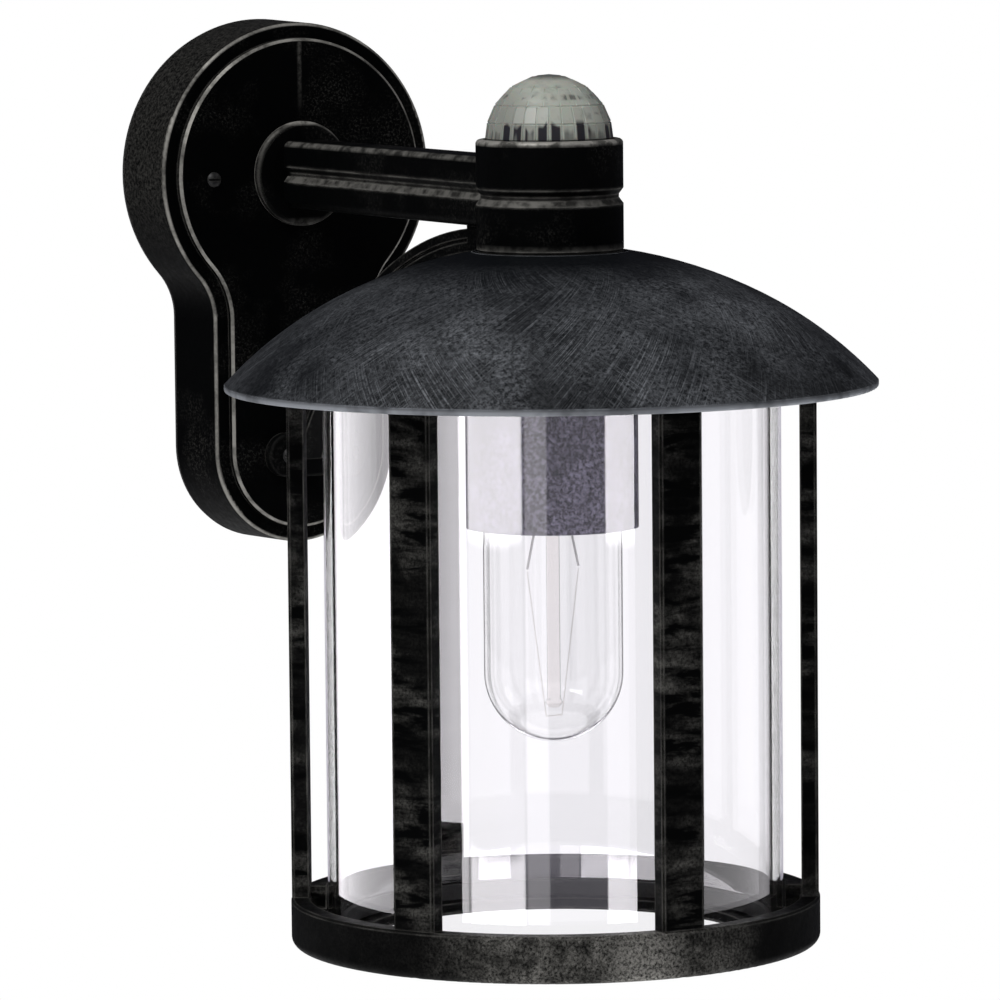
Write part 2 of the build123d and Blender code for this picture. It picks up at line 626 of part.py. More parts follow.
# ---- lamp ---------------------------------------------------------------------------
def bulb_side(inset):
    """The lamp glass's side from the neck to the tip, moved inwards by inset."""
    neck, wide = BULB_NECK_R - inset, BULB_R - inset
    tip_z = BULB_END + inset
    ball_z = tip_z + wide
    halfway = ((neck + wide) / 2, (BULB_FLARE_TOP + BULB_FLARE_LOW) / 2)
    return [
        Line((neck, BULB_NECK_TOP), (neck, BULB_FLARE_TOP)),
        TangentArc((neck, BULB_FLARE_TOP), halfway, tangent=(0, -1)),
        TangentArc((wide, BULB_FLARE_LOW), halfway, tangent=(0, 1)),
        Line((wide, BULB_FLARE_LOW), (wide, ball_z)),
        quarter((wide, ball_z), (0, tip_z), (0, ball_z))]


def make_lamp():
    keep("lamp_envelope", turned(
        *bulb_side(0), *bulb_side(BULB_T),
        Line((BULB_NECK_R, BULB_NECK_TOP), (BULB_NECK_R - BULB_T, BULB_NECK_TOP)),
        Line((0, BULB_END), (0, BULB_END + BULB_T))))
    rings = wavy(CAP_R, CAP_ROOT_R, CAP_LOW, CAP_TOP - 1.0)
    keep("lamp_cap", turned_polygon(
        (CAP_BORE_R, CAP_LOW), *rings, (CAP_EYE_R, CAP_TOP + 2.0), (CAP_EYE_R, CAP_TOP + 1.2),
        (CAP_BORE_R, CAP_TOP - 1.8)))
    eye = CAP_EYE_R - FIT
    keep("lamp_insulator", turned_polygon(
        (0, CAP_TOP + 1.0), (eye, CAP_TOP + 1.0), (eye, CAP_TOP + 2.6), (3.6, CAP_TOP + 3.6),
        (0, CAP_TOP + 3.6)))
    low, high = CAP_TOP + 3.6, CAP_TOP + 5.1
    keep("lamp_contact", turned_polygon(
        (0, low), (3.4, low), (3.1, low + 0.7), (1.8, high - 0.2), (0, high)))
    disc_r = BULB_NECK_R - BULB_T - FIT
    keep("lamp_stem", turned_polygon(
        (0, -85.0), (disc_r, -85.0), (disc_r, -86.0), (4.4, -89.0), (3.6, -101.0),
        (ROD_R, -107.0), (ROD_R, ROD_LOW + 3.0), (ROD_R + 0.7, ROD_LOW + 1.5),
        (ROD_R - 0.4, ROD_LOW), (0, ROD_LOW)))
    wires = [Polyline((s * 4.4, AXIS_Y, -102.0), (s * 7.4, AXIS_Y, -112.0),
                      (s * 9.7, AXIS_Y, -122.0)) for s in (-1, 1)]
    keep("lamp_wires", *[
        sweep(Plane(origin=w @ 0, z_dir=w % 0) * Circle(WIRE_R), path=w,
              transition=Transition.RIGHT) for w in wires])
    thread = FilletPolyline(
        (-9.7, AXIS_Y, -122.9), (-3.0, AXIS_Y, -171.0), (3.0, AXIS_Y, -171.0),
        (9.7, AXIS_Y, -122.9), radius=1.5)
    keep("lamp_filament", sweep(
        Plane(origin=thread @ 0, z_dir=thread % 0) * Circle(FILAMENT_R), path=thread))


# ---- glass and cage -----------------------------------------------------------------
def make_bars():
    in_r = CAGE_R - BAR_T
    bar = block((BAR_T, BAR_W, TOP_RING_LOW - RING_TOP), (in_r, AXIS_Y - BAR_W / 2, RING_TOP))
    outer = bar.edges().filter_by(Axis.Z).group_by(Axis.X)[-1]
    bar = chamfer(outer, BAR_EDGE)
    toe_y = AXIS_Y - TOE_W / 2
    bar += block((in_r - TOE_IN_R, TOE_W, TOE_TOP - RING_TOP), (TOE_IN_R, toe_y, RING_TOP))
    bar += block((in_r - TOE_IN_R - LOOSE, TOE_W, RING_TOP - TOE_LOW), (TOE_IN_R, toe_y, TOE_LOW))
    hole = BAR_SCREW_R + FIT
    bar -= upright(hole, TOP_RING_LOW - BAR_HOLE_DEEP, TOP_RING_LOW + 1, x=BAR_SCREW_AT_R)
    bar -= upright(hole, RING_TOP - 1, RING_TOP + BAR_HOLE_DEEP, x=BAR_SCREW_AT_R)
    for number, solid in enumerate(around(bar, BAR_ANGLES), start=1):
        keep(f"cage_bar_{number}", solid)


def make_rings():
    top = tube(TOP_RING_IN_R, CAGE_R, TOP_RING_LOW, TOP_RING_HIGH)
    for solid in around(upright(STUD_R + LOOSE, -60, -50, x=STUD_AT_R), STUD_ANGLES):
        top -= solid
    for solid in around(upright(BAR_SCREW_R + FIT, -60, -50, x=BAR_SCREW_AT_R), BAR_ANGLES):
        top -= solid
    keep("top_ring", top)

    foot_r, foot_z = RING_R - RING_FOOT_R, RING_LOW + RING_FOOT_R
    bottom = turned(
        *path((foot_r, RING_LOW), (LEDGE_IN_R + RING_EDGE, RING_LOW),
              (LEDGE_IN_R, RING_LOW + RING_EDGE), (LEDGE_IN_R, LEDGE_TOP), (RING_IN_R, LEDGE_TOP),
              (RING_IN_R, RING_TOP), (RING_R - RING_EDGE, RING_TOP), (RING_R, RING_TOP - RING_EDGE),
              (RING_R, foot_z)),
        quarter((RING_R, foot_z), (foot_r, RING_LOW), (foot_r, foot_z)))
    shank = upright(BAR_SCREW_R + FIT, RING_LOW - 1, RING_TOP + 1, x=BAR_SCREW_AT_R)
    seat = upright(COUNTERBORE_R, RING_LOW - 1, RING_LOW + COUNTERBORE_DEEP, x=BAR_SCREW_AT_R)
    for solid in around(shank + seat, BAR_ANGLES):
        bottom -= solid
    keep("bottom_ring", bottom)


def make_cage_screws():
    grip = BAR_HOLE_DEEP - 1.0
    down = screw(BAR_SCREW_R, TOP_RING_HIGH - TOP_RING_LOW + grip, BAR_SCREW_HEAD_R, BAR_SCREW_HEAD_H)
    down = Pos(BAR_SCREW_AT_R, AXIS_Y, TOP_RING_HIGH) * down
    keep("bar_screws_top", *around(down, BAR_ANGLES))
    seat_z = RING_LOW + COUNTERBORE_DEEP
    up = screw(BAR_SCREW_R, RING_TOP - seat_z + grip, BAR_SCREW_HEAD_R, BAR_SCREW_HEAD_H)
    up = Pos(BAR_SCREW_AT_R, AXIS_Y, seat_z) * Rot(180, 0, 0) * up
    keep("bar_screws_bottom", *around(up, BAR_ANGLES))

    nut = Cylinder(THUMB_NUT_R, THUMB_NUT_H) - Cylinder(STUD_R + LOOSE, THUMB_NUT_H + 2)
    for i in range(KNURLS):
        nut -= Rot(0, 0, i * 360.0 / KNURLS) * Pos(THUMB_NUT_R, 0, 0) * Cylinder(0.4, THUMB_NUT_H + 2)
    nut = Pos(STUD_AT_R, AXIS_Y, TOP_RING_LOW - THUMB_NUT_H / 2) * nut
    keep("thumb_nuts", *around(nut, STUD_ANGLES))


def make_glass():
    out, deep, edge = GLASS_R, GLASS_R - GLASS_T, GLASS_EDGE
    keep("glass_cylinder", turned_polygon(
        (deep + edge, GLASS_LOW), (out - edge, GLASS_LOW), (out, GLASS_LOW + edge),
        (out, GLASS_TOP - edge), (out - edge, GLASS_TOP), (deep + edge, GLASS_TOP),
        (deep, GLASS_TOP - edge), (deep, GLASS_LOW + edge)))
    keep("glass_seal_top", tube(SEAL_IN_R, SEAL_OUT_R, GLASS_TOP, TOP_RING_LOW))
    keep("glass_seal_bottom", tube(SEAL_IN_R, SEAL_OUT_R, LEDGE_TOP, GLASS_LOW))


# ---- movement sensor ----------------------------------------------------------------
def make_sensor():
    sides = (-PILLAR_X, PILLAR_X)
    board = upright(BOARD_R, BOARD_LOW, BOARD_TOP)
    for x in sides:
        board -= upright(BOARD_SCREW_R + FIT, BOARD_LOW - 1, BOARD_TOP + 1, x)
    keep("sensor_board", board)
    turn = screw(BOARD_SCREW_R, BOARD_T + 6.0, 2.2, 1.5, slot_w=0.6)
    keep("board_screws", *[Pos(x, AXIS_Y, BOARD_TOP) * turn for x in sides])

    can = upright(5.2, BOARD_TOP, BOARD_TOP + 0.8) + upright(4.6, BOARD_TOP, BOARD_TOP + 4.2)
    window = Pos(0, AXIS_Y, BOARD_TOP + 4.2) * Box(4.0, 3.0, 0.6)
    keep("pyro_sensor", can - window)
    relay = block((18.0, 9.6, 10.0), (-9.0, AXIS_Y - 14.0, BOARD_LOW - 10.0))
    keep("relay", fillet(relay.edges().filter_by(Axis.Z), 0.8))
    keep("capacitor", upright(4.0, BOARD_LOW - 11.0, BOARD_LOW, x=9.0, y=6.5))

    sockets = []
    for name, x in (("time_dial", -DIAL_X), ("lux_dial", DIAL_X)):
        width = DIAL_SOCKET_W
        body = block((width, width, DIAL_SOCKET_H),
                     (x - width / 2, AXIS_Y + DIAL_Y - width / 2, BOARD_TOP))
        sockets.append(body - upright(DIAL_R + FIT, BOARD_TOP, BOARD_TOP + 9, x, DIAL_Y))
        low = BOARD_TOP + 0.2
        slot = Pos(x, AXIS_Y + DIAL_Y, low + DIAL_H) * Box(4.0, 0.9, 2.0)
        keep(name, upright(DIAL_R, low, low + DIAL_H, x, DIAL_Y) - slot)
    keep("dial_sockets", *sockets)


def make_lens():
    inner = LENS_R - LENS_T
    foot = LENS_SEAT_Z + LENS_SEAL_T
    centre = (0, COLLAR_TOP)
    keep("fresnel_lens", turned(
        *path((LENS_R, COLLAR_TOP), (LENS_R, foot), (inner, foot), (inner, COLLAR_TOP)),
        quarter((inner, COLLAR_TOP), (0, COLLAR_TOP + inner), centre),
        Line((0, COLLAR_TOP + inner), (0, COLLAR_TOP + LENS_R)),
        quarter((0, COLLAR_TOP + LENS_R), (LENS_R, COLLAR_TOP), centre)))
    keep("lens_seal", tube(COLLAR_BORE_R + 0.2, LENS_SEAT_R - 0.2, LENS_SEAT_Z, foot))


os.makedirs("parts", exist_ok=True)
make_wall_plate()
make_back_plate()
make_wall_fittings()
make_terminals()
make_leads()
make_arm()
make_stay()
make_roof()
make_nipple_and_cover()
make_lampholder()
make_lamp()
make_bars()
make_rings()
make_cage_screws()
make_glass()
make_sensor()
make_lens()
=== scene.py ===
from math import cos, pi, radians, sin

import bmesh
import bpy
from mathutils import Matrix, Vector


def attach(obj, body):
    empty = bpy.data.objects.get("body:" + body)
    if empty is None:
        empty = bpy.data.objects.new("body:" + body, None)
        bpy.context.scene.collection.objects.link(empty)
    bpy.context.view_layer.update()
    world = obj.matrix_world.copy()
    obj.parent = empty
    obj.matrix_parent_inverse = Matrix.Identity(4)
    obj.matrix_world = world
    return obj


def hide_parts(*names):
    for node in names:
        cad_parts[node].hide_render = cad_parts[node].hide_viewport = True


# Looks of the outdoor wall lantern. Lengths are in metres and angles in degrees unless a comment
# says otherwise. The lantern's own axis is upright at AXIS.

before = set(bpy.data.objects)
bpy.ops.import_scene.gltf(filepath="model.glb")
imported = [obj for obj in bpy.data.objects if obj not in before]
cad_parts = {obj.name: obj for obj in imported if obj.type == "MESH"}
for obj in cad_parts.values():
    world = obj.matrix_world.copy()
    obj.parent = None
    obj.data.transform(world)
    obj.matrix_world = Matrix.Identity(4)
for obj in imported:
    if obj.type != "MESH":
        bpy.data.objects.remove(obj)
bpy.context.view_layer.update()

MM = 0.001
AXIS = Vector((0.0, -0.207, 0.0))
MIDDLE = Vector((0.0, -0.207, -0.10))

# ---- camera: angles in radians, lens in millimetres ---------------------------------
EYE = Vector((-1.100, -2.1123, 0.125))
HEADING = radians(60.447)
PITCH = radians(-5.83)
ROLL = radians(0.535)
LENS = 243.0
CAMERA_SIDE = 240.0          # where the camera stands, as an angle about the axis
NEAR_BAR = 208.2             # the cage bar left of the camera, as an angle about the axis

# ---- sizes of the rebuilt pieces, in millimetres as in the CAD ----------------------
GLASS_R = 75.0
GLASS_T = 4.0
GLASS_TOP = -58.0
GLASS_LOW = -236.7
BULB_R = 22.9
BULB_T = 0.9
BULB_NECK_R = 11.7
BULB_NECK_TOP = -84.0
BULB_FLARE_TOP = -93.0
BULB_FLARE_LOW = -106.5
BULB_END = -179.3
FILAMENT_ROUTE = ((-9.7, 0, -122.9), (-3.0, 0, -171.0), (3.0, 0, -171.0), (9.7, 0, -122.9))
COIL_R = 0.19
COIL_PITCH = 0.45
COIL_STEPS = 8               # points in one turn
COIL_WIRE_R = 0.055
BULB_FLARE_STEPS = 16
DOME_R = 21.0
DOME_T = 1.2
DOME_BASE_Z = 18.6
DOME_FOOT_Z = 12.8
DOME_SHELL_R = DOME_R - 0.28
# Rows of facets: where a row starts and ends in degrees up the dome, and its number of facets.
FACET_ROWS = ((0.0, 15.0, 30), (15.0, 32.0, 30), (32.0, 54.0, 20), (54.0, 76.0, 10))
FACET_SLOPES = (1.1, 0.9)    # degrees of sloping edge, up the dome and round it
FACET_ROOT_R = DOME_R - 0.30
FACET_FACE_R = DOME_R - 0.02
CAP = (76.0, DOME_R - 0.25)  # latitude and radius where the plain cap starts
CROWN = (80.0, DOME_R - 0.05)
CAP_POINTS = 30

# ---- studio sizes and lights --------------------------------------------------------
FLOOR_Z = -1.3
FLOOR_HALF = 3.0
FLOOR_SUN = 3.3
STRIP_TINT = (0.99, 0.96, 1.0)
BACKDROP_TINT = (0.92, 0.87, 1.0)
GLOW_TINT = (0.74, 0.64, 1.0)
BAR_STRIP_TINT = (0.98, 0.95, 1.0)
WORLD_TINT = (0.82, 0.80, 1.0)
WORLD_DIM = 0.06
# Strips of light that only the glass reflects: name, degrees left of the camera, width,
# radiance, soft share at each side, and how much is left in the calm band across the lamp.
STRIPS = (
    ("strip_near", 8.0, 0.25, 2.6, 0.12, 0.0),
    ("strip_left", 28.0, 0.60, 13.5, 0.06, 0.10),
    ("strip_far_left", 51.5, 0.42, 9.0, 0.10, 0.0),
    ("strip_right", -34.5, 0.40, 13.5, 0.06, 0.10),
    ("strip_back_left", 101.0, 2.2, 4.1, 0.15, 0.0),
    ("strip_back_right", -101.0, 2.2, 1.5, 0.3, 0.0),
)
STRIP_RISE = -6.0            # degrees above the level, as seen from the lantern
STRIP_AWAY = 1.2
STRIP_H = 1.3
CALM_BAND = (0.4393, 0.0550, 0.0635)   # its middle and its two half heights, as shares
BAR_STRIP_W = 0.0165
BAR_STRIP_LOW = -0.197
BAR_STRIP_HIGH = -0.058
BAR_STRIP_R = 0.0809
BAR_STRIP_TURN = 1.6         # degrees past the near left bar
BAR_STRIP_RADIANCE = 9.0


# ---- building blocks ----------------------------------------------------------------
def add_object(name, data):
    piece = bpy.data.objects.new(name, data)
    bpy.context.scene.collection.objects.link(piece)
    return piece


def mesh_from(name, bm, smooth=True):
    """Turn a bmesh into an object, with its faces outward."""
    bmesh.ops.recalc_face_normals(bm, faces=bm.faces)
    mesh = bpy.data.meshes.new(name)
    bm.to_mesh(mesh)
    bm.free()
    for face in mesh.polygons:
        face.use_smooth = smooth
    return add_object(name, mesh)


def lathe(name, outline, segments):
    """Turn a closed (radius, z) outline in millimetres about the lantern's axis."""
    bm = bmesh.new()
    rings = []
    for r, z in outline:
        if r < 1e-6:
            rings.append([bm.verts.new(AXIS + Vector((0, 0, z * MM)))] * segments)
            continue
        ring = []
        for i in range(segments):
            turn = 2 * pi * i / segments
            ring.append(bm.verts.new(AXIS + Vector((r * cos(turn), r * sin(turn), z)) * MM))
        rings.append(ring)
    for low, high in zip(rings, rings[1:] + rings[:1]):
        for i in range(segments):
            j = (i + 1) % segments
            corners = []
            for vert in (low[i], low[j], high[j], high[i]):
                if vert not in corners:
                    corners.append(vert)
            if len(corners) > 2:
                bm.faces.new(corners)
    return mesh_from(name, bm)


def arc(centre, radius, start, end, count):
    """Points of an arc, angles in degrees from the radius direction."""
    points = []
    for i in range(count + 1):
        turn = radians(start + (end - start) * i / count)
        points.append((centre[0] + radius * cos(turn), centre[1] + radius * sin(turn)))
    return points


def finish_piece(piece, body, slot, paint, *replaced):
    piece.data.materials.append(paint)
    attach(piece, body)
    if replaced:
        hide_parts(*replaced)
    return piece


# ---- node helpers -------------------------------------------------------------------
class Paint:
    """Builds one procedural material step by step."""

    def __init__(self, name, settings):
        self.material = bpy.data.materials.new(name)
        self.material.use_nodes = True
        self.tree = self.material.node_tree
        self.shader = self.tree.nodes["Principled BSDF"]
        for key, value in settings.items():
            self.shader.inputs[key].default_value = value
        self.place = self.add("ShaderNodeTexCoord").outputs["Object"]

    def add(self, kind, inputs=None, **settings):
        made = self.tree.nodes.new(kind)
        for key, value in settings.items():
            setattr(made, key, value)
        for key, value in (inputs or {}).items():
            if isinstance(value, bpy.types.NodeSocket):
                self.tree.links.new(value, made.inputs[key])
            else:
                made.inputs[key].default_value = value
        return made

    def stretch(self, scale):
        """Scaled object coordinates."""
        return self.add("ShaderNodeMapping", {"Vector": self.place, "Scale": scale}).outputs["Vector"]

    def noise(self, scale, detail=3.0, rough=0.6, place=None, distortion=0.0):
        made = self.add("ShaderNodeTexNoise", {
            "Vector": place or self.place, "Scale": scale, "Detail": detail,
            "Roughness": rough, "Distortion": distortion})
        return made.outputs["Fac"]

    def span(self, value, low, high, to_low=0.0, to_high=1.0):
        """Map low...high to to_low...to_high, without going past either."""
        made = self.add("ShaderNodeMapRange", {
            "Value": value, "From Min": low, "From Max": high, "To Min": to_low, "To Max": to_high})
        return made.outputs["Result"]

    def band(self, value, low, full, fading, high):
        """0 below low and above high, 1 from full to fading."""
        return self.times(self.span(value, low, full), self.span(value, fading, high, 1.0, 0.0))

    def maths(self, operation, a, b=0.0):
        return self.add("ShaderNodeMath", {0: a, 1: b}, operation=operation).outputs["Value"]

    def times(self, a, b):
        return self.maths("MULTIPLY", a, b)

    def most(self, a, b):
        return self.maths("MAXIMUM", a, b)

    def blend(self, share, first, second):
        made = self.add("ShaderNodeMixRGB", {
            "Fac": share, "Color1": (*first, 1), "Color2": (*second, 1)})
        return made.outputs["Color"]

    def axis_parts(self):
        """Offsets from the lantern's axis along X and Y, and the height."""
        made = self.add("ShaderNodeSeparateXYZ", {"Vector": self.place})
        return made.outputs["X"], self.maths("SUBTRACT", made.outputs["Y"], AXIS.y), made.outputs["Z"]

    def edges(self, radius, low, high):
        """1 along sharp outer edges, 0 on open faces."""
        rounded = self.add("ShaderNodeBevel", {"Radius": radius}, samples=4).outputs["Normal"]
        plain = self.add("ShaderNodeNewGeometry").outputs["Normal"]
        dot = self.add("ShaderNodeVectorMath", {0: rounded, 1: plain}, operation="DOT_PRODUCT")
        return self.span(self.maths("SUBTRACT", 1.0, dot.outputs["Value"]), low, high)

    def facing(self):
        """The surface normal's X, Y and Z."""
        normal = self.add("ShaderNodeNewGeometry").outputs["Normal"]
        made = self.add("ShaderNodeSeparateXYZ", {"Vector": normal})
        return made.outputs["X"], made.outputs["Y"], made.outputs["Z"]

    def near(self, point, full, none):
        """1 within one distance of a point, 0 beyond another."""
        made = self.add("ShaderNodeVectorMath", {0: self.place, 1: point}, operation="DISTANCE")
        return self.span(made.outputs["Value"], full, none, 1.0, 0.0)

    def feed(self, socket, value):
        self.tree.links.new(value, self.shader.inputs[socket])

    def bump(self, height, strength, distance):
        made = self.add("ShaderNodeBump", {"Height": height, "Strength": strength, "Distance": distance})
        self.feed("Normal", made.outputs["Normal"])


# ---- paints -------------------------------------------------------------------------
BLACK = (0.0012, 0.0014, 0.0015)
SILVER = (0.36, 0.35, 0.32)
ROOF_TONES = ((0.0020, 0.0027, 0.0038), (0.38, 0.40, 0.43))
COVER_TONES = ((0.003, 0.003, 0.005), (0.30, 0.275, 0.38))
# Painted highlights: bright silver spots where the light falls brightest on the ring and on the roof's
# shoulders.
RING_HIGHLIGHT_SPOT = (-0.017, -0.2925, -0.240)
ROOF_HIGHLIGHT_LEFT = (-0.066, -0.262, -0.044)
ROOF_HIGHLIGHT_RIGHT = (0.030, -0.275, -0.036)


def enamel(name, tones, speckle, wear, rough=0.5, gloss=0.04, root=None):
    """Black enamel: silver rubbed over worn edges and a broken speckle on open faces.

    root marks inner corners, which a cloth doesn't reach.
    """
    black, silver = tones
    radius, amount = wear
    paint = Paint(name, {"Specular IOR Level": gloss})
    broken = paint.span(paint.noise(120.0), 0.38, 0.60, 0.3 * amount, amount)
    rubbed = paint.times(paint.edges(radius, 0.015, 0.10), broken)
    if root:
        rubbed = paint.times(rubbed, root(paint))
    mask = paint.most(speckle(paint), rubbed)
    paint.feed("Base Color", paint.blend(mask, black, silver))
    paint.feed("Roughness", paint.span(paint.noise(420.0), 0.3, 0.7, rough - 0.06, rough + 0.08))
    paint.feed("Metallic", paint.times(mask, 0.35))
    paint.bump(paint.noise(1500.0, 4.0, 0.7), 0.35, 0.00012)
    return paint.material


def cast_speckle(paint):
    """A sparse fine grain in a few faint patches."""
    patches = paint.span(paint.noise(34.0, 3.0), 0.50, 0.70)
    grain = paint.span(paint.noise(1100.0, 4.0, 0.75), 0.50, 0.70, 0.0, 0.14)
    return paint.times(patches, grain)


def arm_speckle_and_highlight(paint):
    """The grain, painted highlight on the collar's lip and on the upward-facing fillets of the arm, and
    silver rubbed over the collar's lower edge.
    """
    _, _, height = paint.axis_parts()
    # Painted highlight: silver round the collar's lip.
    lip = paint.times(paint.span(height, 0.0166, 0.0180), 1.6)
    foot = paint.span(height, -0.0150, -0.0172)
    broken = paint.span(paint.noise(190.0, 3.0), 0.40, 0.60, 0.15, 0.85)
    ring = paint.most(lip, paint.times(foot, 0.3))
    # Painted highlight: silver on the upward-facing fillets along the top of the arm.
    brow_highlight = paint.band(paint.facing()[2], 0.25, 0.55, 0.85, 0.97)
    ring = paint.most(ring, paint.times(brow_highlight, 0.45))
    return paint.most(cast_speckle(paint), paint.times(ring, broken))


def arm_root(paint):
    """0 in the corner where the arm meets its flange, 1 elsewhere."""
    across, out, height = paint.axis_parts()
    section = paint.add("ShaderNodeCombineXYZ", {"X": across, "Y": height}).outputs["Vector"]
    reach = paint.add("ShaderNodeVectorMath", {0: section}, operation="LENGTH").outputs["Value"]
    clear = paint.span(out, 0.1675, 0.1690, 1.0, 0.0)
    return paint.most(clear, paint.span(reach, 0.0148, 0.0156))


def plate_speckle_and_highlight(paint):
    """The grain, a brush mark down the top of the panel, a grainy rim, and silver on the sloping front
    edges that is partly rubbed wear and partly painted highlight.
    """
    across, _, height = paint.axis_parts()
    near = paint.span(paint.maths("ABSOLUTE", across), 0.0003, 0.0011, 1.0, 0.0)
    high = paint.band(height, 0.020, 0.040, 0.0455, 0.0465)
    mark = paint.times(paint.times(near, high), paint.span(paint.noise(700.0), 0.35, 0.6, 0.05, 0.2))
    forward = paint.maths("ABSOLUTE", paint.facing()[1])
    side = paint.times(paint.span(forward, 0.1, 0.3, 1.0, 0.0), paint.span(height, -0.030, -0.005))
    grain = paint.span(paint.noise(900.0, 4.0, 0.75), 0.40, 0.66, 0.0, 0.13)
    # Silver on the sloping front edges: partly rubbed wear, partly a painted highlight.
    sloping = paint.band(forward, 0.30, 0.60, 0.88, 0.98)
    line = paint.times(sloping, paint.span(paint.noise(90.0, 4.0, 0.7), 0.36, 0.60, 0.25, 1.0))
    rubbed = paint.most(paint.times(side, grain), line)
    return paint.most(paint.most(cast_speckle(paint), mark), rubbed)


def bar_speckle(paint):
    """Blotches a few millimetres wide, smeared across the bar."""
    smear = paint.noise(140.0, 4.0, 0.6, paint.stretch((0.35, 0.35, 1.6)), 0.3)
    blotch = paint.span(smear, 0.42, 0.66)
    where = paint.span(paint.noise(60.0, 2.0), 0.42, 0.60, 0.12, 1.0)
    grain = paint.span(paint.noise(1000.0, 4.0, 0.75), 0.36, 0.66, 0.04, 0.34)
    return paint.times(paint.times(blotch, grain), where)


def ring_speckle_and_highlight(paint):
    """A denser broken grain than on the bars, with painted highlight: brightest at the front and in one
    bright spot there.
    """
    across, out, _ = paint.axis_parts()
    toward = paint.maths("SUBTRACT", paint.times(across, -0.34), paint.times(out, 0.94))
    # Painted highlight: the grain is strong on the front of the ring and fades away toward the back.
    front = paint.span(toward, 0.067, 0.0875, 0.03, 1.0)
    patches = paint.span(paint.noise(110.0, 4.0, 0.65), 0.38, 0.62, 0.20, 1.0)
    grain = paint.span(paint.noise(1100.0, 4.0, 0.75), 0.38, 0.64, 0.05, 0.85)
    # Painted highlight: one bright spot on the front of the ring.
    worn = paint.times(paint.near(RING_HIGHLIGHT_SPOT, 0.004, 0.020), 1.5)
    return paint.most(paint.times(paint.times(patches, grain), front), paint.times(worn, grain))


def cover_speckle(paint):
    """A dense grain over the whole sleeve."""
    grain = paint.span(paint.noise(760.0, 4.0, 0.75), 0.42, 0.62, 0.05, 0.75)
    return paint.times(grain, paint.span(paint.noise(90.0), 0.35, 0.6, 0.45, 1.0))


def roof_strokes_and_highlight(paint):
    """Crossed brush strokes that lean both ways up the dome, and a grain between them."""
    x, y, height = paint.axis_parts()
    flat = paint.add("ShaderNodeCombineXYZ", {"X": x, "Y": y}).outputs["Vector"]
    reach = paint.add("ShaderNodeVectorMath", {0: flat}, operation="LENGTH").outputs["Value"]
    heading = paint.add("ShaderNodeVectorMath", {0: flat}, operation="NORMALIZE").outputs["Vector"]
    broken = paint.span(paint.noise(620.0, 3.0, 0.7), 0.38, 0.60, 0.25, 1.0)
    layers = []
    for lean, offset in ((9.0, 0.0), (-11.0, 3.7)):
        spun = paint.add("ShaderNodeVectorRotate", {
            "Vector": heading, "Angle": paint.times(reach, lean)}, rotation_type="Z_AXIS")
        wide = paint.add("ShaderNodeVectorMath", {
            0: spun.outputs["Vector"], "Scale": 200.0}, operation="SCALE")
        depth = paint.maths("MULTIPLY_ADD", reach, 60.0)
        depth.node.inputs[2].default_value = offset
        along = paint.add("ShaderNodeCombineXYZ", {"Z": depth}).outputs["Vector"]
        place = paint.add("ShaderNodeVectorMath", {
            0: wide.outputs["Vector"], 1: along}, operation="ADD")
        streak = paint.noise(1.0, 2.0, 0.5, place.outputs["Vector"])
        where = paint.span(paint.noise(24.0 + offset, 2.0), 0.36, 0.60, 0.15, 1.0)
        layers.append(paint.times(paint.times(paint.span(streak, 0.44, 0.68), where), broken))
    grain = paint.span(paint.noise(700.0, 4.0, 0.75), 0.40, 0.66, 0.0, 0.62)
    patches = paint.span(paint.noise(60.0, 4.0, 0.6), 0.36, 0.62, 0.18, 1.0)
    strokes = paint.most(paint.times(layers[0], 0.80), paint.times(layers[1], 0.70))
    rubbed = paint.most(strokes, paint.times(grain, patches))
    away = paint.span(reach, 0.036, 0.058, 0.06, 1.0)
    tone = paint.span(paint.noise(14.0, 2.0), 0.38, 0.62, 0.45, 1.0)
    # Painted highlight: two bright spots on the roof's shoulders.
    left = paint.near(ROOF_HIGHLIGHT_LEFT, 0.010, 0.045)
    right = paint.near(ROOF_HIGHLIGHT_RIGHT, 0.006, 0.035)
    tone = paint.maths("ADD", tone, paint.times(paint.most(left, right), 0.5))
    # Painted highlight: the strokes grow brighter toward the front of the roof.
    front = paint.span(paint.maths("SUBTRACT", paint.times(x, 0.25), y), 0.02, 0.09, 0.42, 0.82)
    lit = paint.times(paint.times(paint.times(rubbed, away), tone), front)
    # Silver line round the rim: partly wear, partly a painted highlight.
    rim = paint.span(height, -0.0604, -0.0618)
    rim_wear_and_highlight = paint.span(paint.noise(60.0, 3.0), 0.34, 0.54, 0.45, 1.0)
    return paint.most(lit, paint.times(rim, rim_wear_and_highlight))


def surface(name, tones, rough, metallic=0.0, scale=400.0, bump=0.2, stretch=None):
    """A material of two close tones, with its own grain, gloss variation and fine relief."""
    paint = Paint(name, {"Metallic": metallic})
    place = paint.stretch(stretch) if stretch else None
    grain = paint.noise(scale, 4.0, 0.65, place)
    patches = paint.noise(scale / 12.0, 3.0)
    mixed = paint.maths("MULTIPLY_ADD", grain, 0.6)
    paint.tree.links.new(paint.times(patches, 0.4), mixed.node.inputs[2])
    paint.feed("Base Color", paint.blend(paint.span(mixed, 0.36, 0.64), *tones))
    paint.feed("Roughness", paint.span(grain, 0.3, 0.7, rough - 0.05, rough + 0.07))
    paint.bump(grain, bump, 0.00008)
    return paint.material


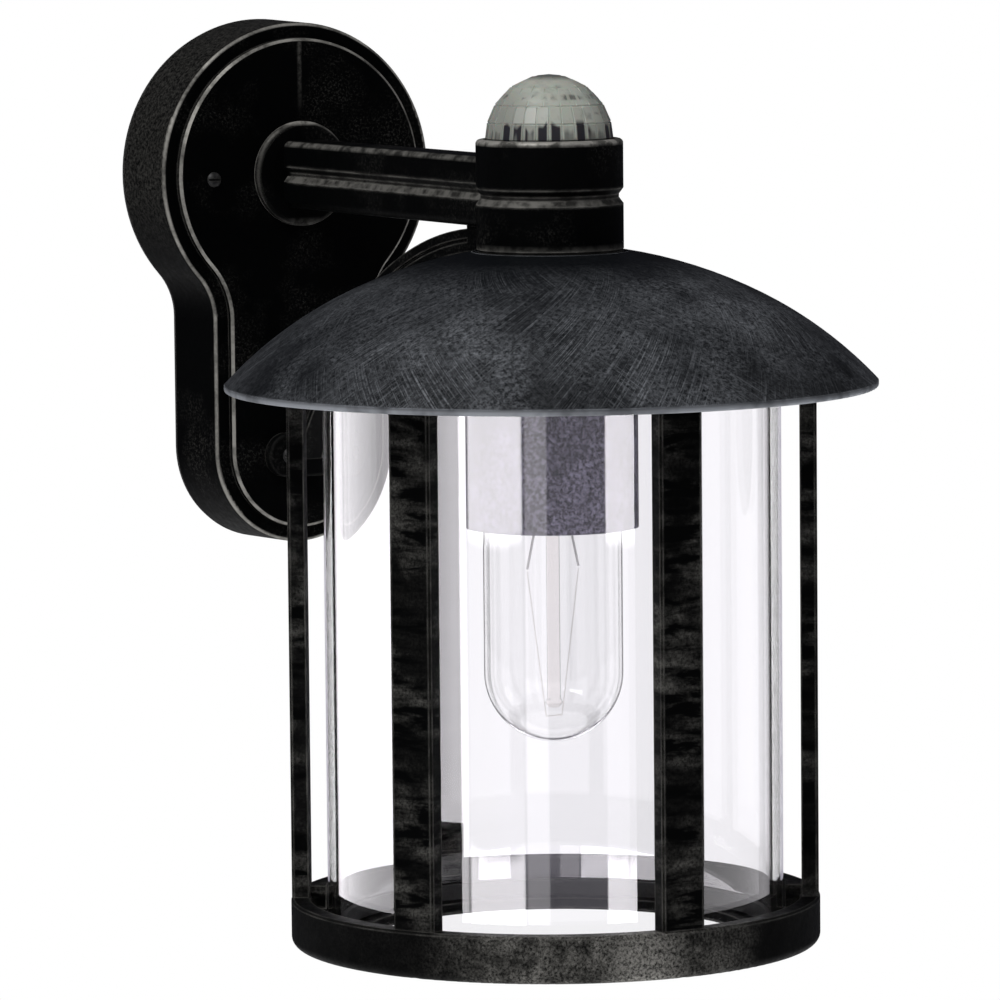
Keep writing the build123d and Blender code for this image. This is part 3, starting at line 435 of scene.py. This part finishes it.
def worn_screw(name, tones, metallic, rough):
    """Screw steel with bright worn edges and slot."""
    paint = Paint(name, {"Metallic": metallic})
    grain = paint.noise(900.0, 4.0)
    mask = paint.most(paint.edges(0.0005, 0.03, 0.2), paint.span(grain, 0.52, 0.72, 0.0, 0.35))
    paint.feed("Base Color", paint.blend(mask, *tones))
    paint.feed("Roughness", paint.span(grain, 0.3, 0.7, rough - 0.05, rough + 0.08))
    paint.bump(grain, 0.2, 0.00006)
    return paint.material


def striped_lead(name):
    """Green insulation with a yellow stripe round part of it."""
    paint = Paint(name, {"Roughness": 0.45})
    stripe = paint.span(paint.noise(90.0, 1.0, 0.4, paint.stretch((1.0, 6.0, 1.0))), 0.47, 0.50)
    paint.feed("Base Color", paint.blend(stripe, (0.10, 0.32, 0.05), (0.72, 0.62, 0.05)))
    paint.bump(paint.noise(1500.0), 0.1, 0.00005)
    return paint.material


def clear_glass(name, tint, ior, sheen=0.0):
    """Clear glass with a trace of colour and barely visible draw marks."""
    paint = Paint(name, {
        "Transmission Weight": 1.0, "IOR": ior, "Roughness": 0.0,
        "Coat Weight": sheen, "Coat Roughness": 0.0, "Coat IOR": 1.55})
    marks = paint.noise(30.0, 2.0, 0.5, paint.stretch((1.0, 1.0, 0.25)))
    faint = tuple(0.994 * c for c in tint)
    paint.feed("Base Color", paint.blend(paint.span(marks, 0.3, 0.7), tint, faint))
    paint.bump(marks, 0.02, 0.0002)
    return paint.material


def milky_plastic(name):
    """Milky lens plastic: cloudy inside, darker in the lower rows, at the skirt and at the crown, with
    painted shade toward both sides.
    """
    paint = Paint(name, {
        "IOR": 1.5, "Roughness": 0.32, "Transmission Weight": 0.12,
        "Subsurface Weight": 0.25, "Subsurface Scale": 0.002, "Specular IOR Level": 0.5})
    x, y, height = paint.axis_parts()
    cloud = paint.noise(260.0, 3.0, 0.6)
    turn = paint.maths("ARCTAN2", y, x)
    wave = paint.maths("ABSOLUTE", paint.maths("SINE", paint.times(turn, 15.0)))
    window = paint.span(wave, 0.30, 0.62)
    tall = paint.noise(240.0, 1.0, 0.5, paint.stretch((1.0, 1.0, 0.1)))
    reach = paint.maths("SUBTRACT", height, paint.span(tall, 0.35, 0.65, -0.0008, 0.0026))
    low = paint.span(reach, 0.0215, 0.0232, 1.0, 0.0)
    teeth = paint.times(low, paint.times(window, paint.span(tall, 0.36, 0.46, 0.5, 1.0)))
    second = paint.band(height, 0.0246, 0.0256, 0.0272, 0.0282)
    third = paint.band(height, 0.0314, 0.0320, 0.0330, 0.0338)
    # Painted shade: the second dark band is kept to the right side of the dome.
    right_shade = paint.span(x, -0.004, 0.010)
    marks = paint.times(paint.most(paint.times(second, right_shade), third), window)
    broken = paint.times(marks, paint.span(cloud, 0.44, 0.60, 0.1, 0.7))
    crown = paint.times(paint.span(height, 0.0376, 0.0390), 0.75)
    skirt = paint.span(height, 0.0188, 0.0196, 0.8, 0.0)
    # Painted shade: darker toward both sides of the dome.
    sides = paint.most(paint.span(x, 0.002, 0.020, 0.0, 0.60), paint.span(x, -0.009, -0.019, 0.0, 0.40))
    smudge_and_shade = paint.most(paint.span(cloud, 0.50, 0.70, 0.0, 0.22), sides)
    shade = paint.most(paint.most(teeth, broken), paint.most(paint.most(crown, skirt), smudge_and_shade))
    paint.feed("Base Color", paint.blend(shade, (0.54, 0.56, 0.49), (0.03, 0.028, 0.035)))
    paint.bump(cloud, 0.15, 0.0001)
    return paint.material


# Plain materials: name in the script, name in the file, two tones, roughness, metallic, grain scale,
# then if needed relief and stretch.
SURFACES = (
    ("zinc", "zinc_plate", ((0.42, 0.43, 0.44), (0.62, 0.63, 0.64)),
     0.36, 1.0, 700.0),
    ("brass", "turned_brass", ((0.62, 0.44, 0.17), (0.8, 0.6, 0.28)),
     0.3, 1.0, 600.0, 0.15, (1, 1, 6)),
    ("nickel", "nickel_shell", ((0.6, 0.59, 0.56), (0.74, 0.73, 0.7)),
     0.28, 1.0, 500.0, 0.12),
    ("porcelain", "white_porcelain", ((0.8, 0.79, 0.75), (0.88, 0.87, 0.83)),
     0.18, 0.0, 200.0, 0.08),
    ("vitrite", "black_vitrite", ((0.008, 0.008, 0.009), (0.03, 0.03, 0.035)),
     0.15, 0.0, 500.0, 0.1),
    ("rubber", "black_rubber", ((0.012, 0.012, 0.012), (0.035, 0.035, 0.035)),
     0.75, 0.0, 900.0, 0.4),
    ("terminal", "polyamide", ((0.7, 0.69, 0.62), (0.8, 0.79, 0.73)),
     0.45, 0.0, 600.0),
    ("board", "solder_mask", ((0.02, 0.14, 0.06), (0.05, 0.25, 0.12)),
     0.35, 0.0, 450.0),
    ("relay", "relay_case", ((0.03, 0.05, 0.12), (0.06, 0.09, 0.19)),
     0.35, 0.0, 700.0),
    ("capacitor", "shrink_sleeve", ((0.012, 0.012, 0.02), (0.04, 0.04, 0.06)),
     0.25, 0.0, 500.0),
    ("dial", "dial_plastic", ((0.78, 0.76, 0.68), (0.88, 0.86, 0.79)),
     0.4, 0.0, 800.0),
    ("dial_base", "trimmer_base", ((0.07, 0.16, 0.38), (0.12, 0.24, 0.52)),
     0.4, 0.0, 800.0),
    ("brown", "brown_lead", ((0.14, 0.06, 0.03), (0.22, 0.1, 0.05)),
     0.42, 0.0, 900.0),
    ("blue", "blue_lead", ((0.03, 0.1, 0.36), (0.06, 0.16, 0.48)),
     0.42, 0.0, 900.0),
    ("tungsten", "drawn_wire", ((0.46, 0.36, 0.31), (0.62, 0.52, 0.46)),
     0.45, 0.3, 1500.0),
    ("lead_wire", "nickel_wire", ((0.84, 0.83, 0.82), (0.94, 0.93, 0.92)),
     0.4, 0.0, 1500.0),
)


def make_paints():
    """Every material of the lantern by name."""
    paints = {
        "plate": enamel("plate_enamel", (BLACK, SILVER), plate_speckle_and_highlight, (0.0006, 0.25), gloss=0.02),
        "cast": enamel("cast_enamel", (BLACK, SILVER), cast_speckle, (0.0009, 0.4)),
        "arm": enamel("arm_enamel", (BLACK, SILVER), arm_speckle_and_highlight, (0.0014, 0.9), root=arm_root),
        "bar": enamel("bar_enamel", (BLACK, SILVER), bar_speckle, (0.0009, 0.5), gloss=0.03),
        "ring": enamel("ring_enamel", (BLACK, SILVER), ring_speckle_and_highlight, (0.0009, 0.35), gloss=0.04),
        "roof": enamel("roof_enamel", ROOF_TONES, roof_strokes_and_highlight, (0.0009, 0.8), 0.55, 0.09),
        "cover": enamel("cover_enamel", COVER_TONES, cover_speckle, (0.0006, 0.2), 0.5, 0.08),
        "dark_screw": worn_screw(
            "blackened_screw", ((0.002, 0.002, 0.002), (0.06, 0.06, 0.055)), 0.1, 0.5),
        "earth": striped_lead("green_yellow_lead"),
        "glass": clear_glass("clear_lantern_glass", (0.966, 0.958, 0.978), 1.10, 1.0),
        "lamp_glass": clear_glass("clear_lamp_glass", (0.99, 0.99, 0.99), 1.47),
        "rod_glass": clear_glass("clear_rod_glass", (0.985, 0.950, 0.938), 1.12),
        "milky": milky_plastic("milky_lens"),
    }
    for key, *values in SURFACES:
        paints[key] = surface(*values)
    return paints


NODE_PAINTS = {
    "plate": ["wall_plate"],
    "cast": ["stay"],
    "arm": ["arm"],
    "bar": ["cage_bar_1", "cage_bar_2", "cage_bar_3", "cage_bar_4", "cage_bar_5", "cage_bar_6"],
    "ring": ["top_ring", "bottom_ring"],
    "roof": ["roof"],
    "cover": ["socket_cover"],
    "zinc": ["back_plate", "standoffs", "arm_screws", "stay_top_screw", "board_screws", "roof_studs",
             "nipple", "nipple_nuts", "lock_washer", "bar_screws_top"],
    "dark_screw": ["plate_screws", "stay_foot_screws", "bar_screws_bottom"],
    "brass": ["terminal_screws", "earth_screw", "lampholder_contact", "thumb_nuts", "lampholder_thread"],
    "nickel": ["pyro_sensor", "lamp_contact", "lamp_cap"],
    "porcelain": ["lampholder_body"],
    "vitrite": ["lamp_insulator"],
    "rubber": ["wall_gasket", "cable_grommet", "lens_seal", "roof_gasket", "glass_seal_top",
               "glass_seal_bottom"],
    "terminal": ["terminal_block"],
    "board": ["sensor_board"],
    "relay": ["relay"],
    "capacitor": ["capacitor"],
    "dial": ["time_dial", "lux_dial"],
    "dial_base": ["dial_sockets"],
    "brown": ["supply_live_lead", "lamp_live_lead"],
    "blue": ["supply_neutral_lead", "lamp_neutral_lead"],
    "earth": ["earth_lead"],
    "lead_wire": ["lamp_wires"],
    "rod_glass": ["lamp_stem"],
}


def paint_nodes(paints):
    for key, names in NODE_PAINTS.items():
        for name in names:
            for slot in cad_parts[name].material_slots:
                slot.material = paints[key]


# ---- rebuilt pieces -----------------------------------------------------------------
def make_lantern_glass(paints):
    """The glass tube, with ground and rounded ends."""
    out, deep = GLASS_R, GLASS_R - GLASS_T
    edge, hold = 0.8, 1.2
    heights = (GLASS_LOW + hold, GLASS_TOP - hold)
    outline = (arc((out - edge, GLASS_LOW + edge), edge, -90, 0, 5)
               + [(out, z) for z in heights]
               + arc((out - edge, GLASS_TOP - edge), edge, 0, 90, 5)
               + arc((deep + edge, GLASS_TOP - edge), edge, 90, 180, 5)
               + [(deep, z) for z in heights[::-1]]
               + arc((deep + edge, GLASS_LOW + edge), edge, 180, 270, 5))
    glass = lathe("lantern_glass", outline, 256)
    return finish_piece(glass, "basket", "clear_glass", paints["glass"], "glass_cylinder")


def bulb_outline(inset):
    """The lamp glass from its neck to its tip, moved inwards by inset."""
    neck, wide = BULB_NECK_R - inset, BULB_R - inset
    points = [(neck, BULB_NECK_TOP), (neck, BULB_FLARE_TOP)]
    for i in range(1, BULB_FLARE_STEPS):
        share = i / BULB_FLARE_STEPS
        bend = share * share * (3 - 2 * share)
        drop = (BULB_FLARE_LOW - BULB_FLARE_TOP) * share
        points.append((neck + (wide - neck) * bend, BULB_FLARE_TOP + drop))
    ball_z = BULB_END + BULB_R
    points.append((wide, BULB_FLARE_LOW))
    points.extend(arc((0, ball_z), wide, 0, -90, 24))
    return points


def make_lamp_glass(paints):
    outline = bulb_outline(0.0) + bulb_outline(BULB_T)[::-1]
    glass = lathe("lamp_glass", outline, 128)
    return finish_piece(glass, "lamp", "lamp_glass", paints["lamp_glass"], "lamp_envelope")


def make_coil(paints):
    """The lamp's filament: one fine coil down from a lead wire, round the foot and up to the other."""
    route = [Vector(point) for point in FILAMENT_ROUTE]
    spans = list(zip(route, route[1:]))
    total = sum((end - start).length for start, end in spans)
    steps = int(total / COIL_PITCH * COIL_STEPS)
    bm = bmesh.new()
    rings = []
    for i in range(steps + 1):
        middle, along = point_on(spans, total * i / steps)
        side = Vector((0, 1, 0))
        lift = along.cross(side).normalized()
        turn = 2 * pi * i / COIL_STEPS
        spoke = side * cos(turn) + lift * sin(turn)
        centre = middle + spoke * COIL_R
        ring = []
        for around in (0.0, 2 * pi / 3, 4 * pi / 3):
            reach = (spoke * cos(around) + along * sin(around)) * COIL_WIRE_R
            ring.append(bm.verts.new((AXIS / MM + centre + reach) * MM))
        rings.append(ring)
    for low, high in zip(rings, rings[1:]):
        for k in range(3):
            m = (k + 1) % 3
            bm.faces.new((low[k], low[m], high[m], high[k]))
    bm.faces.new(rings[0])
    bm.faces.new(rings[-1])
    coil = mesh_from("lamp_coil", bm)
    return finish_piece(coil, "lamp", "tungsten", paints["tungsten"], "lamp_filament")


def point_on(spans, distance):
    """The point at a distance along straight runs, and the run's direction there."""
    for start, end in spans:
        length = (end - start).length
        if distance <= length + 1e-6:
            return start.lerp(end, distance / length), (end - start).normalized()
        distance -= length
    start, end = spans[-1]
    return end, (end - start).normalized()


def make_dome(paints):
    """The sensor's dome: rows of moulded lens facets on a short plain skirt."""
    bm = bmesh.new()
    centre = AXIS + Vector((0, 0, DOME_BASE_Z * MM))

    def on_dome(radius, lat, lon):
        lat, lon = radians(lat), radians(lon)
        return centre + Vector((cos(lat) * cos(lon), cos(lat) * sin(lon), sin(lat))) * radius * MM

    for low, high, count in FACET_ROWS:
        for i in range(count):
            step = 360.0 / count
            make_facet(bm, on_dome, (low, high), (i * step, (i + 1) * step))
    step = 360.0 / CAP_POINTS
    cap = [bm.verts.new(on_dome(CAP[1], CAP[0], i * step)) for i in range(CAP_POINTS)]
    crown = [bm.verts.new(on_dome(CROWN[1], CROWN[0], i * step)) for i in range(CAP_POINTS)]
    top = bm.verts.new(on_dome(DOME_R, 90.0, 0.0))
    for i in range(CAP_POINTS):
        j = (i + 1) % CAP_POINTS
        bm.faces.new((cap[i], cap[j], crown[j], crown[i]))
        bm.faces.new((crown[i], crown[j], top))
    facets = mesh_from("dome_facets", bm, smooth=False)
    shell_outline = ([(DOME_SHELL_R, DOME_FOOT_Z), (DOME_SHELL_R, DOME_BASE_Z)]
                     + arc((0, DOME_BASE_Z), DOME_SHELL_R, 0, 90, 16)[1:]
                     + arc((0, DOME_BASE_Z), DOME_R - DOME_T, 90, 0, 16)
                     + [(DOME_R - DOME_T, DOME_FOOT_Z)])
    shell = lathe("dome_shell", shell_outline, 90)
    finish_piece(shell, "lens", "lens_plastic", paints["milky"], "fresnel_lens")
    return finish_piece(facets, "lens", "lens_plastic", paints["milky"])


def make_facet(bm, on_dome, lats, lons):
    """One raised facet with sloping sides and a flat, slightly tilted face."""
    gap_lat, gap_lon = FACET_SLOPES
    corners = ((0, 0), (0, 1), (1, 1), (1, 0))
    outer = [bm.verts.new(on_dome(FACET_ROOT_R, lats[a], lons[b])) for a, b in corners]
    inner = []
    for a, b in corners:
        lat = lats[a] + (gap_lat if a == 0 else -gap_lat)
        lon = lons[b] + (gap_lon if b == 0 else -gap_lon)
        inner.append(bm.verts.new(on_dome(FACET_FACE_R, lat, lon)))
    bm.faces.new(inner)
    for k in range(4):
        m = (k + 1) % 4
        bm.faces.new((outer[k], outer[m], inner[m], inner[k]))


# ---- camera, lights and floor -------------------------------------------------------
def make_camera():
    data = bpy.data.cameras.new("camera")
    data.sensor_width = 36.0
    data.lens = LENS
    data.clip_end = 100.0
    camera = add_object("camera", data)
    ahead = Vector((cos(HEADING) * cos(PITCH), sin(HEADING) * cos(PITCH), sin(PITCH)))
    right = ahead.cross(Vector((0, 0, 1))).normalized()
    up = right.cross(ahead)
    rolled_up = up * cos(ROLL) + right * sin(ROLL)
    rolled_right = right * cos(ROLL) - up * sin(ROLL)
    turn = Matrix((rolled_right, rolled_up, -ahead)).transposed().to_4x4()
    camera.matrix_world = Matrix.Translation(EYE) @ turn
    bpy.context.scene.camera = camera


def fade_sides(data, margin, calm):
    """Fade a softbox towards its upright sides and, if asked, calm a level band across it."""
    data.use_nodes = True
    nodes, links = data.node_tree.nodes, data.node_tree.links
    place = nodes.new("ShaderNodeNewGeometry").outputs["Parametric"]
    parts = nodes.new("ShaderNodeSeparateXYZ")
    links.new(place, parts.inputs["Vector"])
    fade = fade_from(nodes, links, parts.outputs["X"], (0.5, 0.5 - margin, 0.5, 1.0, 0.0))
    if calm:
        band = fade_from(nodes, links, parts.outputs["Y"], (*CALM_BAND, calm, 1.0))
        both = nodes.new("ShaderNodeMath")
        both.operation = "MULTIPLY"
        links.new(fade, both.inputs[0])
        links.new(band, both.inputs[1])
        fade = both.outputs["Value"]
    links.new(fade, nodes["Emission"].inputs["Strength"])


def fade_from(nodes, links, place, steps):
    """A smooth step with the distance from a line: (line, near, far, value near, value far)."""
    line, near, far, inside, outside = steps
    offset = nodes.new("ShaderNodeMath")
    offset.operation = "SUBTRACT"
    offset.inputs[1].default_value = line
    links.new(place, offset.inputs[0])
    size = nodes.new("ShaderNodeMath")
    size.operation = "ABSOLUTE"
    links.new(offset.outputs["Value"], size.inputs[0])
    fade = nodes.new("ShaderNodeMapRange")
    fade.interpolation_type = "SMOOTHSTEP"
    for key, value in {"From Min": near, "From Max": far, "To Min": inside, "To Max": outside}.items():
        fade.inputs[key].default_value = value
    links.new(size.outputs["Value"], fade.inputs["Value"])
    return fade.outputs["Result"]


def soft_light(name, left, height, distance, size, radiance, colour=(1, 1, 1), only=None, margin=0.0,
               calm=0.0):
    """A softbox: left of the camera and above the level, in degrees as seen from the lantern."""
    data = bpy.data.lights.new(name, "AREA")
    data.shape = "RECTANGLE"
    data.size, data.size_y = size
    data.energy = radiance * pi * size[0] * size[1]
    data.color = colour
    light = add_object(name, data)
    turn, rise = radians(CAMERA_SIDE - left), radians(height)
    away = Vector((cos(rise) * cos(turn), cos(rise) * sin(turn), sin(rise)))
    light.matrix_world = (Matrix.Translation(MIDDLE + away * distance)
                          @ away.to_track_quat("Z", "Y").to_matrix().to_4x4())
    light.visible_camera = False
    if only:
        fade_sides(data, margin, calm)
        light.visible_transmission = False
        light.light_linking.receiver_collection = only


def bar_light(tube):
    """A slim light in front of the near left bar, seen only as its reflection in the tube."""
    data = bpy.data.lights.new("bar_strip", "AREA")
    data.shape = "RECTANGLE"
    height = BAR_STRIP_HIGH - BAR_STRIP_LOW
    data.size, data.size_y = BAR_STRIP_W, height
    data.energy = BAR_STRIP_RADIANCE * pi * BAR_STRIP_W * height
    data.color = BAR_STRIP_TINT
    light = add_object("bar_strip", data)
    turn = radians(NEAR_BAR + BAR_STRIP_TURN)
    away = Vector((cos(turn), sin(turn), 0.0))
    middle = Vector((0, 0, (BAR_STRIP_LOW + BAR_STRIP_HIGH) / 2))
    light.matrix_world = (Matrix.Translation(AXIS + away * BAR_STRIP_R + middle)
                          @ away.to_track_quat("Z", "Y").to_matrix().to_4x4())
    light.visible_camera = False
    light.visible_transmission = False
    only = bpy.data.collections.new("tube_only")
    only.objects.link(tube)
    light.light_linking.receiver_collection = only


def make_lights(glass_pieces):
    soft_light("key", 42.0, 52.0, 1.6, (1.1, 1.1), 5.0)
    soft_light("fill", -35.0, 30.0, 1.8, (1.2, 1.2), 0.45)
    soft_light("rim", -105.0, 35.0, 1.6, (0.5, 1.2), 1.2)
    only = bpy.data.collections.new("glass_only")
    for piece in glass_pieces:
        only.objects.link(piece)
    for name, left, width, radiance, soft, calm in STRIPS:
        size = (width, STRIP_H)
        soft_light(name, left, STRIP_RISE, STRIP_AWAY, size, radiance, STRIP_TINT, only, soft, calm)
    soft_light("backdrop", 180.0, STRIP_RISE, 1.4, (2.6, 1.6), 0.45, BACKDROP_TINT, only, 0.1)
    bar_light(glass_pieces[0])
    soft_light("glow", -5.0, 0.0, 1.7, (2.8, 2.4), 0.36, GLOW_TINT, only, 0.2)


def make_world():
    """White where the camera looks past the lantern, dim where it only lights or reflects."""
    world = bpy.data.worlds.new("studio")
    bpy.context.scene.world = world
    world.use_nodes = True
    tree = world.node_tree
    tree.nodes.clear()
    rays = tree.nodes.new("ShaderNodeLightPath")
    seen = tree.nodes.new("ShaderNodeMath")
    seen.operation = "MAXIMUM"
    tree.links.new(rays.outputs["Is Camera Ray"], seen.inputs[0])
    tree.links.new(rays.outputs["Is Transmission Ray"], seen.inputs[1])
    dim = tree.nodes.new("ShaderNodeBackground")
    dim.inputs["Color"].default_value = (*WORLD_TINT, 1)
    dim.inputs["Strength"].default_value = WORLD_DIM
    white = tree.nodes.new("ShaderNodeBackground")
    white.inputs["Color"].default_value = (1, 1, 1, 1)
    white.inputs["Strength"].default_value = 1.0
    mix = tree.nodes.new("ShaderNodeMixShader")
    out = tree.nodes.new("ShaderNodeOutputWorld")
    tree.links.new(seen.outputs["Value"], mix.inputs["Fac"])
    tree.links.new(dim.outputs["Background"], mix.inputs[1])
    tree.links.new(white.outputs["Background"], mix.inputs[2])
    tree.links.new(mix.outputs["Shader"], out.inputs["Surface"])


def make_floor():
    """A pale studio floor well below the lantern."""
    bm = bmesh.new()
    bmesh.ops.create_grid(bm, x_segments=8, y_segments=8, size=FLOOR_HALF)
    bmesh.ops.translate(bm, verts=bm.verts, vec=(0.0, 0.0, FLOOR_Z))
    floor = mesh_from("studio_floor", bm)
    floor.data.materials.append(surface(
        "floor_paint", ((0.78, 0.78, 0.79), (0.82, 0.82, 0.82)), 0.8, 0.0, 60.0, 0.05))
    only = bpy.data.collections.new("floor_only")
    only.objects.link(floor)
    data = bpy.data.lights.new("floor_light", "SUN")
    data.energy = FLOOR_SUN
    data.angle = radians(30.0)
    light = add_object("floor_light", data)
    light.light_linking.receiver_collection = only


make_camera()
paints = make_paints()
paint_nodes(paints)
glass_pieces = [make_lantern_glass(paints), make_lamp_glass(paints)]
make_dome(paints)
make_coil(paints)
make_world()
make_floor()
make_lights(glass_pieces)
bpy.context.scene.view_settings.view_transform = "Standard"
